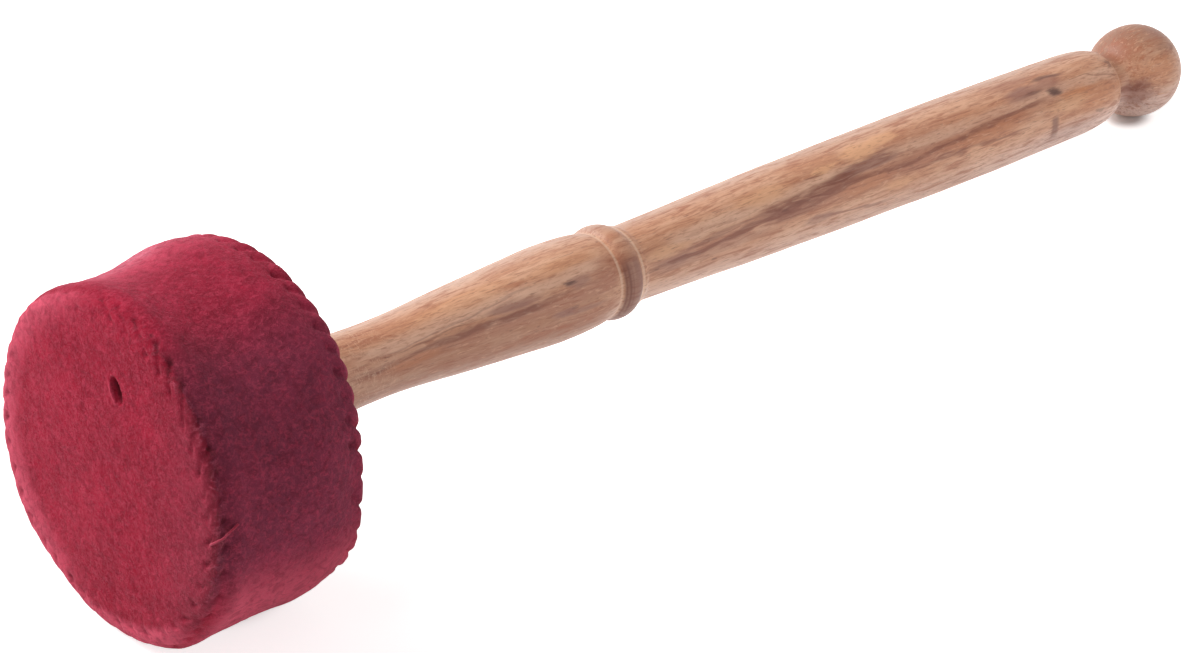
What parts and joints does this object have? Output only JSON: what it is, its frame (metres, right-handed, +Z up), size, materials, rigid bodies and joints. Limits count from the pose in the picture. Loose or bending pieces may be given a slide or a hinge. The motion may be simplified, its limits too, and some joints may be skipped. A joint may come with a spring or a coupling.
{
  "type": "singing bowl mallet",
  "caption": "Mallet with a turned hardwood handle, a bead and a round end knob, and a short drum-shaped head covered in whip-stitched felt.",
  "frame": {"origin": "on the table under the middle of the lying mallet, at the bottom centre of its box", "axes": "+Z up, +X along the lying mallet from the felt head to the knob, +Y across it"},
  "size_m": [0.3158, 0.075, 0.0753],
  "materials": {
    "handle_wood": "turned hardwood, waxed, warm brown with darker streaks along the grain",
    "core_wood": "plain turned softwood",
    "steel": "plain zinc-plated steel",
    "padding_felt": "grey wool padding felt",
    "twine": "buff twine",
    "red_felt": "crimson wool felt with a short nap",
    "red_thread": "crimson sewing thread"
  },
  "bodies": {
    "root": {"handle": "handle_wood", "core_puck": "core_wood", "retaining_washer": "steel", "retaining_screw": "steel", "padding_roll": "padding_felt", "padding_tack_1": "steel", "padding_tack_2": "steel", "padding_tack_3": "steel", "binding_twine": "twine", "front_pad": "padding_felt", "rear_pad": "padding_felt", "cover_front": "red_felt", "cover_band": "red_felt", "cover_rear": "red_felt", "front_seam_thread": "red_thread", "rear_seam_thread": "red_thread", "band_seam_thread": "red_thread"}
  },
  "joints": []
}
